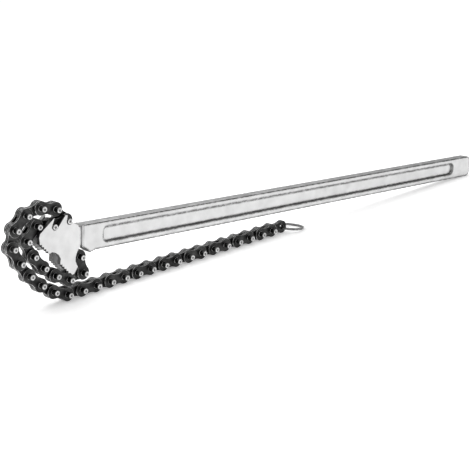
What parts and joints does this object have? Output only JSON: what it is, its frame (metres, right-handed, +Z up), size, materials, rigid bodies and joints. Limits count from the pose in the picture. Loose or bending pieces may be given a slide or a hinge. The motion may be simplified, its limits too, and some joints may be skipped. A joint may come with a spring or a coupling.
{
  "type": "chain pipe wrench",
  "caption": "Chain pipe wrench: long forged I-section handle, two-cheek toothed jaw, and a plate-link chain hooked into the jaw's notches with a split ring at its free end.",
  "frame": {"origin": "bottom centre of the object's box, as it rests with its chain's tail and the handle's far end on the floor", "axes": "+X from the jaw to the handle's far end, +Y across the cheeks, away from the picture's camera, +Z up"},
  "size_m": [0.6354, 0.029, 0.096],
  "materials": {
    "forged_steel": "satin plated forging",
    "chain_steel": "black oxide, lightly oiled, with bright peened pin ends",
    "ring_steel": "polished wire"
  },
  "bodies": {
    "forging": {"handle_and_jaw": "forged_steel", "anchor_pin": "forged_steel"},
    "inner_link_01": {"inner_link_01": "chain_steel"},
    "outer_link_01": {"outer_link_01": "chain_steel"},
    "inner_link_02": {"inner_link_02": "chain_steel"},
    "outer_link_02": {"outer_link_02": "chain_steel"},
    "inner_link_03": {"inner_link_03": "chain_steel"},
    "outer_link_03": {"outer_link_03": "chain_steel"},
    "inner_link_04": {"inner_link_04": "chain_steel"},
    "outer_link_04": {"outer_link_04": "chain_steel"},
    "inner_link_05": {"inner_link_05": "chain_steel"},
    "outer_link_05": {"outer_link_05": "chain_steel"},
    "inner_link_06": {"inner_link_06": "chain_steel"},
    "outer_link_06": {"outer_link_06": "chain_steel"},
    "inner_link_07": {"inner_link_07": "chain_steel"},
    "outer_link_07": {"outer_link_07": "chain_steel"},
    "inner_link_08": {"inner_link_08": "chain_steel"},
    "outer_link_08": {"outer_link_08": "chain_steel"},
    "inner_link_09": {"inner_link_09": "chain_steel"},
    "outer_link_09": {"outer_link_09": "chain_steel"},
    "inner_link_10": {"inner_link_10": "chain_steel"},
    "outer_link_10": {"outer_link_10": "chain_steel"},
    "inner_link_11": {"inner_link_11": "chain_steel"},
    "outer_link_11": {"outer_link_11": "chain_steel"},
    "inner_link_12": {"inner_link_12": "chain_steel"},
    "outer_link_12": {"outer_link_12": "chain_steel"},
    "inner_link_13": {"inner_link_13": "chain_steel"},
    "outer_link_13": {"outer_link_13": "chain_steel"},
    "inner_link_14": {"inner_link_14": "chain_steel"},
    "outer_link_14": {"outer_link_14": "chain_steel"},
    "inner_link_15": {"inner_link_15": "chain_steel"},
    "outer_link_15": {"outer_link_15": "chain_steel"},
    "inner_link_16": {"inner_link_16": "chain_steel"},
    "outer_link_16": {"outer_link_16": "chain_steel"},
    "inner_link_17": {"inner_link_17": "chain_steel"},
    "outer_link_17": {"outer_link_17": "chain_steel"},
    "inner_link_18": {"inner_link_18": "chain_steel"},
    "outer_link_18": {"outer_link_18": "chain_steel"},
    "inner_link_19": {"inner_link_19": "chain_steel"},
    "split_ring": {"split_ring": "ring_steel"}
  },
  "joints": [
    {"name": "pivot_01", "type": "hinge", "parent": "forging", "child": "inner_link_01", "pos_m": [-0.25296, 0, 0.0485], "axis": [0, 1, 0], "range_deg": [-0.3, 0.3]},
    {"name": "pivot_02", "type": "hinge", "parent": "inner_link_01", "child": "outer_link_01", "pos_m": [-0.2416, 0, 0.03741], "axis": [0, -1, 0], "range_deg": [-0.3, 0.3]},
    {"name": "pivot_03", "type": "hinge", "parent": "outer_link_01", "child": "inner_link_02", "pos_m": [-0.23887, 0, 0.02177], "axis": [0, 1, 0], "range_deg": [-0.3, 0.3]},
    {"name": "pivot_04", "type": "hinge", "parent": "inner_link_02", "child": "outer_link_02", "pos_m": [-0.25459, 0, 0.01956], "axis": [0, -1, 0], "range_deg": [-0.3, 0.3]},
    {"name": "pivot_05", "type": "hinge", "parent": "outer_link_02", "child": "inner_link_03", "pos_m": [-0.26886, 0, 0.02652], "axis": [0, 1, 0], "range_deg": [-0.3, 0.3]},
    {"name": "pivot_06", "type": "hinge", "parent": "inner_link_03", "child": "outer_link_03", "pos_m": [-0.28102, 0, 0.03672], "axis": [0, -1, 0], "range_deg": [-0.3, 0.3]},
    {"name": "pivot_07", "type": "hinge", "parent": "outer_link_03", "child": "inner_link_04", "pos_m": [-0.29064, 0, 0.04935], "axis": [0, 1, 0], "range_deg": [-0.3, 0.3]},
    {"name": "pivot_08", "type": "hinge", "parent": "inner_link_04", "child": "outer_link_04", "pos_m": [-0.29617, 0, 0.06423], "axis": [0, -1, 0], "range_deg": [-0.3, 0.3]},
    {"name": "pivot_09", "type": "hinge", "parent": "outer_link_04", "child": "inner_link_05", "pos_m": [-0.28458, 0, 0.07508], "axis": [0, 1, 0], "range_deg": [-0.3, 0.3]},
    {"name": "pivot_10", "type": "hinge", "parent": "inner_link_05", "child": "outer_link_05", "pos_m": [-0.26904, 0, 0.07183], "axis": [0, -1, 0], "range_deg": [-0.3, 0.3]},
    {"name": "pivot_11", "type": "hinge", "parent": "outer_link_05", "child": "inner_link_06", "pos_m": [-0.25324, 0, 0.07341], "axis": [0, 1, 0], "range_deg": [-0.3, 20]},
    {"name": "pivot_12", "type": "hinge", "parent": "inner_link_06", "child": "outer_link_06", "pos_m": [-0.2634, 0, 0.08561], "axis": [0, -1, 0], "range_deg": [-20, 0.3]},
    {"name": "pivot_13", "type": "hinge", "parent": "outer_link_06", "child": "inner_link_07", "pos_m": [-0.27876, 0, 0.08963], "axis": [0, 1, 0], "range_deg": [-0.3, 20]},
    {"name": "pivot_14", "type": "hinge", "parent": "inner_link_07", "child": "outer_link_07", "pos_m": [-0.29434, 0, 0.08658], "axis": [0, -1, 0], "range_deg": [-21, 0.3]},
    {"name": "pivot_15", "type": "hinge", "parent": "outer_link_07", "child": "inner_link_08", "pos_m": [-0.30634, 0, 0.07618], "axis": [0, 1, 0], "range_deg": [-0.3, 21]},
    {"name": "pivot_16", "type": "hinge", "parent": "inner_link_08", "child": "outer_link_08", "pos_m": [-0.31085, 0, 0.06096], "axis": [0, -1, 0], "range_deg": [-22, 0.3]},
    {"name": "pivot_17", "type": "hinge", "parent": "outer_link_08", "child": "inner_link_09", "pos_m": [-0.30436, 0, 0.04647], "axis": [0, 1, 0], "range_deg": [-0.3, 23]},
    {"name": "pivot_18", "type": "hinge", "parent": "inner_link_09", "child": "outer_link_09", "pos_m": [-0.29593, 0, 0.03302], "axis": [0, -1, 0], "range_deg": [-24, 0.3]},
    {"name": "pivot_19", "type": "hinge", "parent": "outer_link_09", "child": "inner_link_10", "pos_m": [-0.2847, 0, 0.0218], "axis": [0, 1, 0], "range_deg": [-0.3, 25]},
    {"name": "pivot_20", "type": "hinge", "parent": "inner_link_10", "child": "outer_link_10", "pos_m": [-0.27189, 0, 0.01242], "axis": [0, -1, 0], "range_deg": [-26, 0.3]},
    {"name": "pivot_21", "type": "hinge", "parent": "outer_link_10", "child": "inner_link_11", "pos_m": [-0.2572, 0, 0.0064], "axis": [0, 1, 0], "range_deg": [-0.3, 27]},
    {"name": "pivot_22", "type": "hinge", "parent": "inner_link_11", "child": "outer_link_11", "pos_m": [-0.24133, 0, 0.0064], "axis": [0, -1, 0], "range_deg": [-29, 1.4]},
    {"name": "pivot_23", "type": "hinge", "parent": "outer_link_11", "child": "inner_link_12", "pos_m": [-0.22545, 0, 0.0064], "axis": [0, 1, 0], "range_deg": [-1.5, 31]},
    {"name": "pivot_24", "type": "hinge", "parent": "inner_link_12", "child": "outer_link_12", "pos_m": [-0.20958, 0, 0.0064], "axis": [0, -1, 0], "range_deg": [-32, 1.6]},
    {"name": "pivot_25", "type": "hinge", "parent": "outer_link_12", "child": "inner_link_13", "pos_m": [-0.1937, 0, 0.0064], "axis": [0, 1, 0], "range_deg": [-1.7, 34]},
    {"name": "pivot_26", "type": "hinge", "parent": "inner_link_13", "child": "outer_link_13", "pos_m": [-0.17783, 0, 0.0064], "axis": [0, -1, 0], "range_deg": [-37, 1.9]},
    {"name": "pivot_27", "type": "hinge", "parent": "outer_link_13", "child": "inner_link_14", "pos_m": [-0.16195, 0, 0.0064], "axis": [0, 1, 0], "range_deg": [-2.1, 39]},
    {"name": "pivot_28", "type": "hinge", "parent": "inner_link_14", "child": "outer_link_14", "pos_m": [-0.14608, 0, 0.0064], "axis": [0, -1, 0], "range_deg": [-41, 2.3]},
    {"name": "pivot_29", "type": "hinge", "parent": "outer_link_14", "child": "inner_link_15", "pos_m": [-0.1302, 0, 0.0064], "axis": [0, 1, 0], "range_deg": [-2.5, 44]},
    {"name": "pivot_30", "type": "hinge", "parent": "inner_link_15", "child": "outer_link_15", "pos_m": [-0.11433, 0, 0.0064], "axis": [0, -1, 0], "range_deg": [-47, 2.8]},
    {"name": "pivot_31", "type": "hinge", "parent": "outer_link_15", "child": "inner_link_16", "pos_m": [-0.09845, 0, 0.0064], "axis": [0, 1, 0], "range_deg": [-3.2, 50]},
    {"name": "pivot_32", "type": "hinge", "parent": "inner_link_16", "child": "outer_link_16", "pos_m": [-0.08258, 0, 0.0064], "axis": [0, -1, 0], "range_deg": [-53, 3.7]},
    {"name": "pivot_33", "type": "hinge", "parent": "outer_link_16", "child": "inner_link_17", "pos_m": [-0.0667, 0, 0.0064], "axis": [0, 1, 0], "range_deg": [-4.3, 56]},
    {"name": "pivot_34", "type": "hinge", "parent": "inner_link_17", "child": "outer_link_17", "pos_m": [-0.05083, 0, 0.0064], "axis": [0, -1, 0], "range_deg": [-59, 5.3]},
    {"name": "pivot_35", "type": "hinge", "parent": "outer_link_17", "child": "inner_link_18", "pos_m": [-0.03495, 0, 0.0064], "axis": [0, 1, 0], "range_deg": [-6.9, 63]},
    {"name": "pivot_36", "type": "hinge", "parent": "inner_link_18", "child": "outer_link_18", "pos_m": [-0.01908, 0, 0.0064], "axis": [0, -1, 0], "range_deg": [-66, 9.7]},
    {"name": "pivot_37", "type": "hinge", "parent": "outer_link_18", "child": "inner_link_19", "pos_m": [-0.0032, 0, 0.0064], "axis": [0, 1, 0], "range_deg": [-16.2, 70]},
    {"name": "ring_swing", "type": "hinge", "parent": "inner_link_19", "child": "split_ring", "pos_m": [0.01267, 0, 0.0064], "axis": [0, -1, 0], "range_deg": [-140, 25]}
  ]
}
